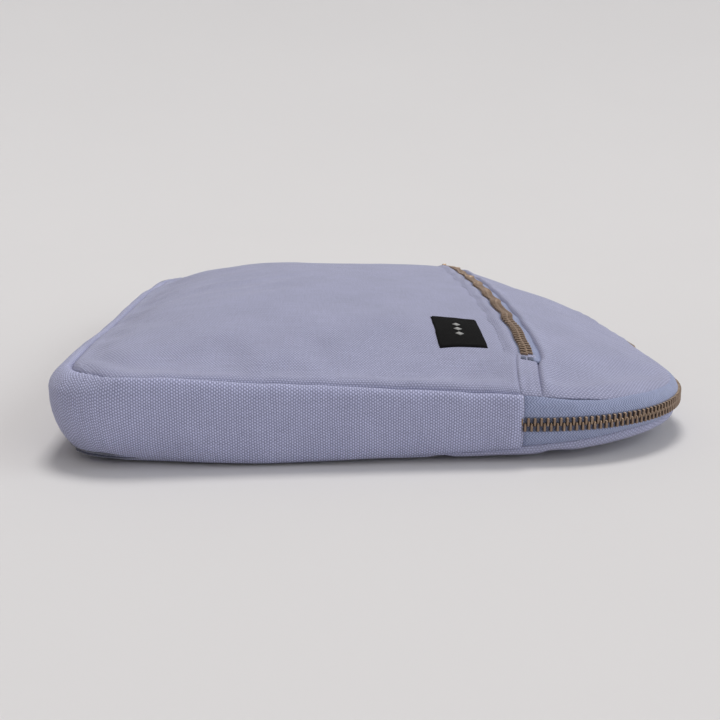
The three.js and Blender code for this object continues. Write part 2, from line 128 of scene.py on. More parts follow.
# Where the padding stands higher or lower than an even crown: place in plan, radius and height.
SWELLS = [
    ((-106, 132), 24, -3.2),
    ((-118, 10), 45, -1.6),
    ((58, 88), 24, 3.4),
    ((104, 84), 26, -3.4),
    ((124, 0), 34, -0.6),
]

# Long soft folds in the front: two ends in plan, width and height. The first six fan out of the
# far corner at the base, where the canvas is pulled over the padding.
FOLDS = [
    ((-127, 128), (-20, 52), 3.2, 0.55),
    ((-126, 118), (-40, 30), 3.0, -0.44),
    ((-127, 104), (-45, 8), 3.4, 0.495),
    ((-128, 84), (-66, -6), 3.2, -0.385),
    ((-128, 62), (-74, -18), 4.0, 0.33),
    ((-118, 150), (-30, 110), 3.5, 0.44),
    ((-129, -60), (-96, -104), 5.0, -0.22),
    ((-60, -150), (-20, -128), 6.0, 0.1925),
    ((20, -148), (48, -140), 5.0, 0.1925),
    ((72, -140), (110, -96), 5.0, 0.275),
    ((70, -118), (118, -62), 6.0, -0.2475),
]
FOLD_BOW = 5.0  # how far the middle of a fold bows to one side

# Creases in the back's edge: place along the side, width and height.
DENTS = [(20.0, 2.4, 1.7), (65.0, 2.8, 2.2), (-12.0, 5.0, 0.5), (42.0, 5.0, 0.5)]

# One tooth of a zip, from its foot to its head: place across the chain, half its length along the
# chain and half its thickness.
TOOTH = [
    (2.70, 0.40, 0.80), (2.58, 0.50, 1.05), (2.25, 0.53, 1.18), (1.00, 0.53, 1.18),
    (0.45, 0.50, 1.12), (-0.15, 0.50, 1.05), (-0.50, 0.44, 0.90), (-0.62, 0.30, 0.65),
]
TOOTH_CHAMFER = 0.22

# One stitch: the share of its length, then its height and its radius as shares of the thread's.
STITCH = np.array([
    (0, -1.2, 0.45), (0.12, 0.1, 0.9), (0.35, 0.7, 1),
    (0.65, 0.7, 1), (0.88, 0.1, 0.9), (1, -1.2, 0.45),
])
THREAD_RADIUS = 0.17
THREAD_SIDES = 6

CAMERA_PLACE = (-31.2, -535.5, 122.8)
CAMERA_DOWN = 12.23  # degrees
CAMERA_RIGHT = 2.95  # degrees

# Soft, even lights: name, where each comes from, its strength, how wide it looks in degrees and
# its colour.
LIGHTS = [
    ("key", (0.1, 0.85, 2.5), 1.5, 20, (1.0, 0.985, 0.97)),
    ("cool_side", (2.4, -0.2, 1.7), 0.5, 30, (0.86, 0.93, 1.0)),
    ("front_fill", (2.0, -2.0, 0.7), 0.8, 35, (0.95, 0.98, 1.0)),
]


# ---- small helpers

def to_frame(points):
    """Plan millimetres to frame metres."""
    return (np.asarray(points, float) + np.array([CENTRE_X, 0.0, 0.0])) / 1000


def smooth(t):
    """0 up to t = 0, 1 from t = 1, and an even curve between."""
    t = np.clip(t, 0.0, 1.0)
    return t * t * (3 - 2 * t)


def gauss(distance, width):
    return np.exp(-0.5 * (distance / width) ** 2)


def unit(vectors):
    return vectors / np.linalg.norm(vectors, axis=-1, keepdims=True)


def lattice_noise(x, y, cell, seed):
    """Smooth noise from -1 to 1, with features about one cell across."""
    size = 64
    table = np.random.RandomState(seed).uniform(-1, 1, (size, size))
    gx, gy = np.asarray(x, float) / cell, np.asarray(y, float) / cell
    ix, iy = np.floor(gx).astype(int), np.floor(gy).astype(int)
    fx, fy = smooth(gx - ix), smooth(gy - iy)

    def row(dy):
        left = table[ix % size, (iy + dy) % size]
        right = table[(ix + 1) % size, (iy + dy) % size]
        return left * (1 - fx) + right * fx

    return row(0) * (1 - fy) + row(1) * fy


def arc_lengths(points):
    """Running length along the first axis of a path or a grid of points."""
    steps = np.linalg.norm(np.diff(points, axis=0), axis=-1)
    return np.concatenate([np.zeros((1,) + steps.shape[1:]), np.cumsum(steps, axis=0)])


def along_path(run, lengths, values):
    """Values known at some lengths along a path, read at others."""
    return np.stack([np.interp(run, lengths, column) for column in values.T], -1)


def cloth_uv(points):
    """Where each point lies on the flat cloth, in millimetres, from the panel's middle."""
    down = arc_lengths(np.swapaxes(points, 0, 1)).T
    sideways = arc_lengths(points)
    middle = points.shape[1] // 2
    v = down - down[:, middle:middle + 1]
    u = np.repeat(sideways[:, middle:middle + 1], points.shape[1], 1)
    return np.stack([u, v], -1)


def strip_uv(points, run):
    """The same for a long strip, from its first edge and its near end."""
    girth = arc_lengths(np.swapaxes(points, 0, 1)).T
    return np.stack([girth, np.repeat(run[:, None], points.shape[1], 1)], -1)


# ---- objects

def add_object(name, data):
    obj = bpy.data.objects.new(name, data)
    bpy.context.scene.collection.objects.link(obj)
    return obj


def new_object(name, vertices, faces, uv=None):
    """A mesh object from frame metres. uv gives one pair per vertex, in millimetres."""
    mesh = bpy.data.meshes.new(name)
    mesh.from_pydata([tuple(v) for v in vertices], [], [tuple(f) for f in faces])
    if uv is not None:
        layer = mesh.uv_layers.new(name="cloth")
        loops = np.zeros(len(mesh.loops), int)
        mesh.loops.foreach_get("vertex_index", loops)
        layer.data.foreach_set("uv", np.asarray(uv, np.float32)[loops].ravel())
    mesh.polygons.foreach_set("use_smooth", [True] * len(mesh.polygons))
    mesh.update()
    return add_object(name, mesh)


def grid_faces(shape):
    index = np.arange(shape[0] * shape[1]).reshape(shape)
    corners = [index[:-1, :-1], index[1:, :-1], index[1:, 1:], index[:-1, 1:]]
    return np.stack(corners, -1).reshape(-1, 4)


def tube_faces(index):
    """Faces round a stack of closed rings of vertices, with a cap on each end."""
    following = np.roll(index, -1, axis=1)
    sides = [index[:-1], following[:-1], following[1:], index[1:]]
    return [*np.stack(sides, -1).reshape(-1, 4), index[0][::-1], index[-1]]


def grid_object(name, points, uv, flip=False):
    """A sheet from a grid of plan points."""
    faces = grid_faces(points.shape[:2])
    if flip:
        faces = faces[:, ::-1]
    return new_object(name, to_frame(points.reshape(-1, 3)), faces, uv.reshape(-1, 2))


def thicken(obj, millimetres):
    """Gives a sheet its real thickness, behind its outer face."""
    solid = obj.modifiers.new("thickness", "SOLIDIFY")
    solid.thickness = millimetres / 1000
    solid.offset = -1
    solid.use_rim = True
    return obj


def soften_edges(obj, millimetres, segments):
    bevel = obj.modifiers.new("edges", "BEVEL")
    bevel.width = millimetres / 1000
    bevel.segments = segments
    bevel.limit_method = "ANGLE"
    return bevel


def paint(obj, material):
    obj.data.materials.clear()
    obj.data.materials.append(material)
    return obj


def bend_at_fold(obj):
    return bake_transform(obj)


def attach(obj, bends):
    """Bakes the transform of a piece on the flap into its mesh, or keeps a piece on the sleeve."""
    return bend_at_fold(obj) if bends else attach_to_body(obj, "sleeve")


def declare_sheet(obj):
    """Gives a piece back as it is."""
    return obj


# ---- the sleeve's outline

def across(x):
    """-1 at the base and 1 at the mouth."""
    return x / HALF_WIDTH


def corner_radius(x):
    return np.where(x < 0, BASE_CORNER_RADIUS, MOUTH_CORNER_RADIUS)


def pinch(x):
    """The share of its full length that the sleeve keeps at x."""
    return 1 - (WAIST / HALF_LENGTH) * (1 - across(x) ** 2)


def half_length(x, inset=0.0):
    """Half the sleeve's length at x, for an outline inset from the seam line."""
    radius = corner_radius(x) - inset
    past = np.maximum(0, np.abs(x) - (HALF_WIDTH - inset - radius))
    corner = radius - np.sqrt(np.maximum(0, radius**2 - past**2))
    return (HALF_LENGTH - inset - corner) * pinch(x)


def past_corner_centre(x, y):
    """How far a point lies past the centre of its corner's arc in x and in y, and the radius."""
    radius = corner_radius(x) - SEAM_INSET
    out_x = np.abs(x) - (HALF_WIDTH - SEAM_INSET - radius)
    out_y = np.abs(y / pinch(x)) - (HALF_LENGTH - SEAM_INSET - radius)
    return out_x, out_y, radius


def seam_distance(x, y):
    """How far a plan point lies inside the panel's seam."""
    out_x, out_y, radius = past_corner_centre(x, y)
    outside = np.hypot(np.maximum(out_x, 0), np.maximum(out_y, 0))
    return radius - outside - np.minimum(np.maximum(out_x, out_y), 0)


def seam_depth(x, y):
    return np.maximum(0, seam_distance(x, y))


def outward(x, y):
    """The direction straight out of the nearest part of the outline."""
    out_x, out_y, _ = past_corner_centre(x, y)
    inside = (out_x < 0) & (out_y < 0)
    normal_x = np.where(inside, out_x > out_y, np.maximum(out_x, 0)) * np.sign(x)
    normal_y = np.where(inside, out_y >= out_x, np.maximum(out_y, 0)) * np.sign(y)
    size = np.maximum(np.hypot(normal_x, normal_y), 1e-9)
    return normal_x / size, normal_y / size


def moved_out(x, y, distance):
    normal_x, normal_y = outward(x, y)
    return x + normal_x * distance, y + normal_y * distance


def drawn_in(x, y, inset, reach):
    """Moves the edge of a panel in from the common seam line, and less and less of its inside."""
    return moved_out(x, y, (SEAM_INSET - inset(x)) * np.exp(-seam_depth(x, y) / reach))


def seam_path(end, step, start_x, side_steps, corner_steps):
    """Round the base (end -1) or the mouth (end 1), from start_x on the near side to the far side.

    Gives evenly spaced places, their outward directions and the running length.
    """
    radius = float(corner_radius(end))
    centre = np.array([end * (HALF_WIDTH - radius), HALF_LENGTH - radius])
    side = np.linspace(start_x, centre[0], side_steps)[:-1]
    near = np.stack([side, np.full_like(side, -HALF_LENGTH)], -1)
    far = np.stack([side[::-1], np.full_like(side, HALF_LENGTH)], -1)
    turn = np.linspace(0, PI / 2, corner_steps)
    corner = centre + radius * np.stack([end * np.sin(turn), np.cos(turn)], -1)
    outline = np.concatenate([near, corner * (1, -1), corner[::-1], far])
    outline[:, 1] *= pinch(outline[:, 0])
    lengths = arc_lengths(outline)
    run = np.linspace(0, lengths[-1], max(2, int(round(lengths[-1] / step)) + 1))
    place = along_path(run, lengths, outline)
    ahead = np.gradient(place, axis=0)
    for _ in range(3):
        ahead[1:-1] = (ahead[:-2] + 2 * ahead[1:-1] + ahead[2:]) / 4
    ahead = unit(ahead)
    return place, np.stack([ahead[:, 1], -ahead[:, 0]], -1) * end, run


def base_path(step):
    """The way that the side band runs."""
    return seam_path(-1, step, GUSSET_END_X, 60, 40)


def mouth_path(step, start_x):
    """The way that the main zip runs."""
    return seam_path(1, step, start_x, 8, 60)


def sweep(place, normal, offsets, heights):
    """Grid of points from per-point offsets and heights, each shaped (path, profile)."""
    flat = place[:, None, :] + normal[:, None, :] * offsets[..., None]
    return np.concatenate([flat, heights[..., None]], -1)


def plan_grid(columns, rows):
    """Plan points in columns across the sleeve, with rows as shares of its half length there."""
    x = np.repeat(columns[:, None], len(rows), 1)
    return x, rows[None, :] * half_length(x, SEAM_INSET)


# ---- the sleeve's form

def top_seam_height(x):
    return TOP_SEAM[0] + (TOP_SEAM[1] - TOP_SEAM[0]) * (across(x) + 1) / 2


def bottom_seam_height(x):
    """The bottom seam lies on the floor at the base and lifts faster and faster to the mouth."""
    return np.clip(3.4 + 0.043 * x + 0.0003 * x**2, 2.0, 10.4)


def undercut(x):
    """0 where the side band stands upright, 1 where it tucks under the base."""
    return smooth((-x - 45) / 70)


def base_end(x):
    """0 along the sides, 1 round the base."""
    return smooth((-x - 98) / 24)


def top_inset(x):
    return SEAM_INSET + 4.2 * base_end(x)


def bottom_inset(x):
    return 1.3 + 10.5 * undercut(x)


def crown_height(x, y):
    along = np.minimum(1, np.abs(y) / half_length(x))
    share = np.minimum(1, np.abs(x) / (HALF_WIDTH - SEAM_INSET * smooth((y - 30) / 40) * (x > 0)))
    return CROWN * (1 - (along**2 + along**4) / 2) * (1 - share**3)


def swell_height(x, y):
    return sum(height * gauss(np.hypot(x - place[0], y - place[1]), radius)
               for place, radius, height in SWELLS)


def fold_height(x, y):
    total = np.zeros_like(x)
    for start, end, width, height in FOLDS:
        length = math.dist(start, end)
        unit_x, unit_y = (end[0] - start[0]) / length, (end[1] - start[1]) / length
        along = (x - start[0]) * unit_x + (y - start[1]) * unit_y
        side = -(x - start[0]) * unit_y + (y - start[1]) * unit_x
        share = np.clip(along / length, 0, 1)
        fade = smooth(along / 14) * smooth((length - along) / (0.6 * length))
        bow = FOLD_BOW * np.sin(PI * share)
        total += height * fade * gauss(side - bow, width * (1 + 0.8 * share))
    return total


def gather_height(x, y):
    """Small pleats beside the seam at the two base corners, where it turns tightly."""
    dx = BASE_CORNER_RADIUS - HALF_WIDTH - x
    dy = np.abs(y) - (HALF_LENGTH - BASE_CORNER_RADIUS)
    angle = np.arctan2(dy, np.maximum(dx, 1e-6))
    corner = smooth(dx / 12) * smooth(dy / 12)
    depth = seam_distance(x, y)
    return 0.5 * corner * np.sin(angle * 40 + depth * 0.9) * gauss(depth - 4.0, 4.0)


def puff(x, y):
    """The unevenness of padding under canvas, from bumps of three sizes."""
    bumps = [(0.5, 58, 11), (0.3, 24, 12), (0.10, 9, 13)]
    return sum(height * lattice_noise(x + 400, y + 400, cell, seed) for height, cell, seed in bumps)


def lip_height(x, y, depth):
    """The front rises steeply out of its seam, least at the mouth's corners."""
    middle_of_mouth = smooth((x - 105) / 20) * smooth((70 - np.abs(y)) / 30)
    height = 3.0 - 2.2 * smooth((x - 50) / 50) + 1.6 * middle_of_mouth
    return height * (np.exp(-depth / 11) - np.exp(-depth / 1.7))


def sag_depth(x, y, depth):
    """Where the front hangs lower: the mouth's far end, the base and beside the pocket zip."""
    mouth = 1.0 * smooth((x - 90) / 35) * smooth((y - 30) / 40)
    base = 2.0 * smooth((-x - 90) / 30) * smooth((y + 110) / 70)
    far_corner = 1.8 * smooth((-x - 80) / 30) * smooth((y - 60) / 60)
    beside_zip = 1.9 * gauss(x - 77, 13) * np.exp(-depth / 12)
    return mouth + base + far_corner + beside_zip


def padded_front_z(x, y):
    """The front canvas as its padding shapes it."""
    depth = seam_depth(x, y)
    base = top_seam_height(x) - sag_depth(x, y, depth) + crown_height(x, y)
    uneven = swell_height(x, y) + puff(x, y) + fold_height(x, y)
    return base + lip_height(x, y, depth) + uneven * smooth(depth / 14) + gather_height(x, y)


def back_z(x, y):
    """The outer face of the back: flat on the floor inside, a padded roll just off it outside."""
    depth = seam_depth(x, y)
    gap = 1.9 + 4.8 * smooth((x - 40) / 85)
    reach = 12 + 10 * smooth((x - 40) / 50)
    roll = (bottom_seam_height(x) - gap) * np.exp(-depth / 1.4)
    dents = sum(height * gauss(x - place, width) for place, width, height in DENTS)
    dents = dents * np.exp(-depth / 6) * (1 - np.exp(-depth / 1.5))
    return roll + gap * np.exp(-((depth / reach) ** 2)) + dents


# ---- canvas settling on its padding

def run_as_cloth(name, points, held):
    """Simulates a grid of points as cloth and gives the points back where they come to rest.

    held says how firmly the foam and the seams hold each point, from 0 to 1.
    """
    sheet = grid_object(name, points, cloth_uv(points))
    group = sheet.vertex_groups.new(name="held")
    for index, share in enumerate(held.ravel()):
        group.add([index], float(share), "REPLACE")
    settings = sheet.modifiers.new("cloth", "CLOTH").settings
    for key, value in SETTLE_CLOTH.items():
        setattr(settings, key, value)
    settings.effector_weights.gravity = 0
    scene = bpy.context.scene
    for moment in range(1, SETTLE_FRAMES + 1):
        scene.frame_set(moment)
    settled = sheet.evaluated_get(bpy.context.evaluated_depsgraph_get())
    places = np.zeros(points.size)
    settled.data.vertices.foreach_get("co", places)
    bpy.data.objects.remove(sheet)
    scene.frame_set(1)
    return places.reshape(points.shape) * 1000 - np.array([CENTRE_X, 0.0, 0.0])


def blurred(values, passes):
    """A grid of values averaged with its neighbours, along one axis and then the other."""
    for _ in range(2 * passes):
        padded = np.pad(values, ((1, 1), (0, 0)), mode="edge")
        values = ((padded[:-2] + 2 * padded[1:-1] + padded[2:]) / 4).T
    return values


def front_settling():
    """How far simulated canvas rises or sinks from its even padding, over a grid of the front."""
    edge = HALF_WIDTH - SEAM_INSET - 0.2
    columns = np.linspace(-edge, edge, SETTLE_COLUMNS)
    x, y = plan_grid(columns, np.linspace(-1, 1, SETTLE_ROWS))
    points = np.stack([x, y, padded_front_z(x, y)], -1)
    held = np.where(seam_distance(x, y) < 1.5, 1.0, 0.02)
    rise = run_as_cloth("settling_front", points, held)[..., 2] - points[..., 2]
    rise = rise - blurred(rise, SETTLE_BROAD)
    return SETTLE_LIMIT * np.tanh(rise / SETTLE_LIMIT)


SETTLED = front_settling()


def spline_weights(t):
    """Cubic B-spline weights of the four grid lines round a place t between the middle two."""
    second = (3 * t**3 - 6 * t**2 + 4) / 6
    third = (-3 * t**3 + 3 * t**2 + 3 * t + 1) / 6
    return [(1 - t) ** 3 / 6, second, third, t**3 / 6]


def settled_rise(x, y):
    """The simulated rise at any place on the front, read smoothly from its grid."""
    column = (x / (HALF_WIDTH - SEAM_INSET) + 1) / 2 * (SETTLE_COLUMNS - 1)
    row = (y / np.maximum(half_length(x, SEAM_INSET), 1) + 1) / 2 * (SETTLE_ROWS - 1)
    column = np.clip(column, 0, SETTLE_COLUMNS - 1.001)
    row = np.clip(row, 0, SETTLE_ROWS - 1.001)
    first_column, first_row = np.floor(column).astype(int), np.floor(row).astype(int)
    total = np.zeros(np.broadcast(x, y).shape)
    for i, across_weight in enumerate(spline_weights(column - first_column)):
        for j, along_weight in enumerate(spline_weights(row - first_row)):
            a = np.clip(first_column + i - 1, 0, SETTLE_COLUMNS - 1)
            b = np.clip(first_row + j - 1, 0, SETTLE_ROWS - 1)
            total = total + across_weight * along_weight * SETTLED[a, b]
    return total


def seam_pucker(x, y, depth):
    """The canvas is drawn up between stitches, so it ripples beside the seam."""
    run = np.where(np.abs(y) > half_length(x) - 40, x, y)
    ripple = lattice_noise(run + 500, depth * 0.15 + 500, 7.5, 14)
    return 0.42 * ripple * gauss(depth - 3.0, 3.0)


def front_z(x, y):
    """The outer face of the front canvas, settled over its padding and drawn up by its stitches."""
    depth = seam_depth(x, y)
    return padded_front_z(x, y) + settled_rise(x, y) * smooth(depth / 8) + seam_pucker(x, y, depth)


# ---- pocket zip's line

def before_tabs(y, margin, reach):
    """1 along the pocket chain, fading to 0 where the tabs begin, or a margin before them."""
    return smooth((POCKET_ZIP_END - margin - np.abs(y)) / reach)


def zip_wave(y):
    """The sewn chain is longer than the canvas beside it, so it buckles in slow waves."""
    waves = 0.65 * np.sin(2 * PI * y / 27 + 0.7) + 0.2 * np.sin(2 * PI * y / 16 + 2.1)
    return before_tabs(y, 4, 26) * waves


def zip_lean(y):
    return -TAB_LEAN * smooth((np.abs(y) - POCKET_ZIP_END + 12) / 42)


def zip_line_x(y):
    return POCKET_ZIP_X + zip_wave(y) + zip_lean(y)


def pocket_edge_x(y):
    """The pocket's folded edge beside the chain, and its seam with the tabs."""
    in_tab = smooth((np.abs(y) - POCKET_ZIP_END) / 3)
    beside_chain = zip_line_x(y) - CHAIN_WIDTH / 2 + 0.25
    beside_tab = zip_line_x(y) - TAB_HALF_WIDTH
    return beside_chain * (1 - in_tab) + beside_tab * in_tab


def upper_edge_x(y):
    """The upper panel's folded edge beside the tape, and its seam with the tabs."""
    in_tab = smooth((np.abs(y) - POCKET_ZIP_END) / 6)
    beside_tape = POCKET_ZIP_X + UPPER_EDGE + zip_lean(y) + 0.35 * zip_wave(y)
    beside_tab = zip_line_x(y) + TAB_HALF_WIDTH + 0.25
    return beside_tape * (1 - in_tab) + beside_tab * in_tab


def chain_z(y):
    """The middle plane of the pocket chain, which ripples as it buckles."""
    ripple = 0.2 * before_tabs(y, 4, 26) * np.sin(2 * PI * y / 27 + 2.4)
    return front_z(zip_line_x(y), y) + 0.35 + ripple


# ---- panels

# Distances from an edge to the first few lines of a panel's grid, close together at the edge.
SEAM_STEPS = np.array([0, 0.25, 0.6, 1.1, 1.8, 2.7, 3.8, 5.2, 7.0, 9.2])
POCKET_STEPS = np.array([0, 0.15, 0.4, 0.8, 1.3, 2.0, 2.8, 3.8, 4.8, 5.8, 6.8, 8])
UPPER_STEPS = np.array([0, 0.15, 0.4, 0.8, 1.3, 2.0, 2.8, 3.8, 5.0, 6.5])


def length_rows(step):
    """Rows as shares of the half length, closer together beside the seams."""
    reach = HALF_LENGTH - SEAM_INSET
    inner = np.linspace(-(reach - 12), reach - 12, int(2 * (reach - 12) / step))
    edge = reach - SEAM_STEPS
    return np.concatenate([-edge, inner, edge[::-1]]) / reach


def corner_columns(end, steps):
    """Columns round a corner, at even angles so that its arc stays round. Outermost first."""
    radius = float(corner_radius(end)) - SEAM_INSET
    turn = np.linspace(0, PI / 2, steps)
    return end * ((HALF_WIDTH - SEAM_INSET) - radius * (1 - np.cos(turn)))


def base_columns():
    return corner_columns(-1, 16)


def mouth_columns():
    return corner_columns(1, 26)[::-1]


def shift_to_edge(x, y, edge, nominal, reach):
    """Moves the columns near one edge so that the last one follows edge(y)."""
    return x + (edge(y) - nominal) * smooth(1 - np.abs(x - nominal) / reach)


def low_shoulder(x):
    """How far the side band's shoulder stands below the front's edge, towards the mouth."""
    return 2.0 * smooth((x + 30) / 60)


def seam_groove(x, y):
    """How deep the front sinks into its seam: most at the base corners and beside the mouth."""
    corner = smooth((-x - 95) / 15) * smooth((np.abs(y) - 128) / 15)
    return 1.3 + 1.4 * corner + 0.6 * smooth(x / 50) + low_shoulder(x)


def pocket_panel():
    """The front from the base to the pocket zip, with its folded and stitched edge."""
    nominal = POCKET_ZIP_X - CHAIN_WIDTH / 2
    left = base_columns()
    middle = np.arange(left[-1] + 3.0, nominal - 9, 3.0)
    columns = np.concatenate([left, middle, nominal - POCKET_STEPS[::-1]])
    x, y = plan_grid(columns, length_rows(3.0))
    x = shift_to_edge(x, y, pocket_edge_x, nominal, 24)
    edge = pocket_edge_x(y) - x
    pucker = 0.25 * lattice_noise(y + 500, edge + 500, 6.0, 31) * gauss(edge - 4.5, 3.5)
    hem = 1.15 * gauss(edge - 2.4, 2.0) - 0.5 * gauss(edge - 6.2, 0.7) + pucker
    hem = hem - 2.2 * np.exp(-edge / 0.45)
    tab_seam = -1.1 * np.exp(-edge / 0.5) + 0.25 * gauss(edge - 1.6, 1.0)
    beside_chain = before_tabs(y, 0, 5)
    depth = seam_depth(x, y)
    groove = seam_groove(x, y) * np.exp(-depth / 0.7)
    z = front_z(x, y) + beside_chain * hem + (1 - beside_chain) * tab_seam - groove
    overhang = 1.5 * smooth(x / 50) * (np.exp(-depth / 4) - np.exp(-depth / 0.6))
    x, y = moved_out(x, y, overhang)
    x, y = drawn_in(x, y, top_inset, 18)
    return np.stack([x, y, z], -1)


def upper_panel():
    """The front from the pocket zip to the mouth."""
    nominal = POCKET_ZIP_X + UPPER_EDGE
    left = nominal + UPPER_STEPS
    right = mouth_columns()
    right = right[right > left[-1] + 1.0]
    middle = np.arange(left[-1] + 2.5, right[0] - 1.0, 2.5)
    x, y = plan_grid(np.concatenate([left, middle, right]), length_rows(3.0))
    x = shift_to_edge(x, y, upper_edge_x, nominal, 30)
    edge = x - upper_edge_x(y)
    hem = 1.2 * gauss(edge - 2.2, 2.0) - 2.6 * np.exp(-edge / 0.5)
    depth = seam_depth(x, y)
    groove = 0.8 * np.exp(-depth / 0.5)
    z = front_z(x, y) + hem * (0.35 + 0.65 * smooth(depth / 6)) - groove
    return np.stack([x, y, z], -1)


def tab_panel(side):
    """The canvas tab between the end of the chain and the seam. It is folded over at the chain."""
    start = POCKET_ZIP_END - 1.5
    rows = np.concatenate([[0, 0.012, 0.03, 0.06, 0.1], np.linspace(0.16, 0.86, 12),
                           [0.93, 0.97, 0.99, 1]])
    s, t = np.meshgrid(np.linspace(-1, 1, 17), rows, indexing="ij")
    end = half_length(np.full_like(t, POCKET_ZIP_X - TAB_LEAN), SEAM_INSET)
    y = side * (start + (end - start) * t)
    x = zip_line_x(y) + s * (TAB_HALF_WIDTH + 1.1)
    fold = 0.9 * np.exp(-t / 0.05) - 2.4 * np.exp(-t / 0.008)
    tucked = -1.3 * smooth((np.abs(s) - 0.72) / 0.2)
    pleats = 0.16 * np.sin(s * 9 + 1.0) * smooth(t)
    return np.stack([x, y, front_z(x, y) + 0.2 + fold + tucked + pleats], -1)


def back_panel():
    left, right = base_columns(), mouth_columns()
    middle = np.arange(left[-1] + 3.5, right[0] - 1.0, 3.5)
    x, y = plan_grid(np.concatenate([left, middle, right]), length_rows(3.5))
    z = back_z(x, y)
    depth = seam_depth(x, y)
    puffed = (5.2 - 1.8 * smooth((x - 40) / 40)) * (np.exp(-depth / 5) - np.exp(-depth / 1.0))
    x, y = moved_out(x, y, puffed * (1 - undercut(x)))
    x, y = drawn_in(x, y, bottom_inset, 30)
    return np.stack([x, y, z], -1)


def side_band():
    """The padded side band, from the top seam out over its shoulder and down to the bottom seam.

    Gives its points, the outward directions along it and its running length.
    """
    place, normal, run = base_path(2.4)
    quarter = np.array([0, 0.02, 0.05, 0.1, 0.17, 0.25, 0.34, 0.44, 0.55, 0.66, 0.77, 0.88])
    upper = PI / 2 * quarter[None, :]
    lower = PI / 2 * (1 - quarter[::-1])[None, :]
    x, y = place[:, 0:1], place[:, 1:2]
    under = undercut(x)
    to_end = np.minimum(run, run[-1] - run)[:, None]
    near_end = 1 - smooth(to_end / 30)
    seam = place - normal * SEAM_INSET
    top = front_z(seam[:, 0], seam[:, 1])[:, None]
    bottom = bottom_seam_height(x)
    widest = bottom + (top - bottom) * (0.55 + 0.2 * under)
    bulge = (2.4 - 0.8 * under) * (1 - 0.5 * near_end)

    power = 0.6 + 0.3 * base_end(x)
    upper_out = (top_inset(x) + bulge) * np.sin(upper) ** power - top_inset(x)
    upper_height = widest + (top - widest) * np.cos(upper) ** power
    power = 0.68 + 0.34 * under
    lower_out = (bottom_inset(x) + bulge) * np.cos(lower) ** power - bottom_inset(x)
    lower_height = widest - (widest - bottom) * np.sin(lower) ** power
    offsets = np.concatenate([upper_out, lower_out], 1)
    heights = np.concatenate([upper_height, lower_height], 1)

    t = np.linspace(0, 1, offsets.shape[1])[None, :]
    shoulder = (0.3 + 1.5 * gauss(x + 92, 20)) * np.exp(-((t - 0.17) / 0.13) ** 2)
    heights = heights + shoulder * (1 - np.exp(-t / 0.02))
    heights = heights - (seam_groove(x, y) - low_shoulder(x)) * np.exp(-t / 0.03)
    heights = heights - low_shoulder(x) * np.exp(-((t / 0.16) ** 2))
    waves = 0.35 * lattice_noise(run[:, None] + 900, t * 30 + 900, 23, 41)
    waves = waves + 0.14 * lattice_noise(run[:, None] + 900, t * 30 + 900, 8, 42)
    body = np.sin(PI * t) ** 0.5
    folded_end = 1.5 * np.exp(-to_end / 0.5)
    offsets = offsets + (waves + 0.5 * near_end) * body - folded_end
    return sweep(place, normal, offsets, heights), normal, run


# ---- materials

class Nodes:
    """Short names for the shader nodes that the materials are built from."""

    def __init__(self, tree):
        self.tree = tree

    def feed(self, socket, value):
        """Gives a socket a constant, or links it to another node's output."""
        if isinstance(value, (int, float, tuple)):
            socket.default_value = value
        else:
            self.tree.links.new(value, socket)

    def add(self, kind, sockets=(), output=0, **settings):
        """Adds a node, feeds its sockets and gives one of its outputs."""
        node = self.tree.nodes.new(kind)
        for key, value in settings.items():
            setattr(node, key, value)
        for key, value in dict(sockets).items():
            self.feed(node.inputs[key], value)
        return node.outputs[output]

    def math(self, operation, *values):
        return self.add("ShaderNodeMath", enumerate(values), operation=operation)

    def times(self, a, b):
        return self.math("MULTIPLY", a, b)

    def plus(self, a, b):
        return self.math("ADD", a, b)

    def wave(self, value, half_period):
        return self.math("SINE", self.times(value, PI / half_period))

    def noise(self, vector, scale, detail=2.0, roughness=0.5):
        sockets = {"Vector": vector, "Scale": scale, "Detail": detail, "Roughness": roughness}
        return self.add("ShaderNodeTexNoise", sockets, "Fac")

    def combine(self, x, y):
        return self.add("ShaderNodeCombineXYZ", {"X": x, "Y": y})

    def ramp(self, value, low, high, from_low=0.0, from_high=1.0):
        sockets = {"Value": value, "From Min": from_low, "From Max": from_high,
                   "To Min": low, "To Max": high}
        return self.add("ShaderNodeMapRange", sockets)

    def mix(self, factor, a, b):
        return self.add("ShaderNodeMix", {0: factor, 6: a, 7: b}, 2, data_type="RGBA")

    def shade(self, colour, factor):
        """Makes a colour darker or lighter."""
        colour = colour[:3] if isinstance(colour, tuple) else colour
        return self.add("ShaderNodeVectorMath", {0: colour, "Scale": factor}, operation="SCALE")

    def vary(self, colour, noise, low, high):
        """Makes a colour uneven, between two shades of it."""
        return self.shade(colour, self.ramp(noise, low, high, 0.3, 0.7))

    def bump(self, height, millimetres, strength):
        sockets = {"Height": height, "Distance": millimetres / 1000, "Strength": strength}
        return self.add("ShaderNodeBump", sockets)

    def cloth_uv(self):
        """The whole coordinate on the flat cloth, then its two parts."""
        uv = self.add("ShaderNodeUVMap", uv_map="cloth")
        return uv, *(self.add("ShaderNodeSeparateXYZ", {0: uv}, axis) for axis in (0, 1))

    def place(self):
        return self.add("ShaderNodeTexCoord", output="Object")


def new_material(name):
    material = bpy.data.materials.new(name)
    material.use_nodes = True
    return material, Nodes(material.node_tree), material.node_tree.nodes["Principled BSDF"]


def set_shader(n, shader, colour, relief, **constants):
    """Links the colour and the relief, and sets other sockets, named with _ for each space."""
    n.feed(shader.inputs["Base Color"], colour)
    n.feed(shader.inputs["Normal"], relief)
    for key, value in constants.items():
        shader.inputs[key.replace("_", " ")].default_value = value


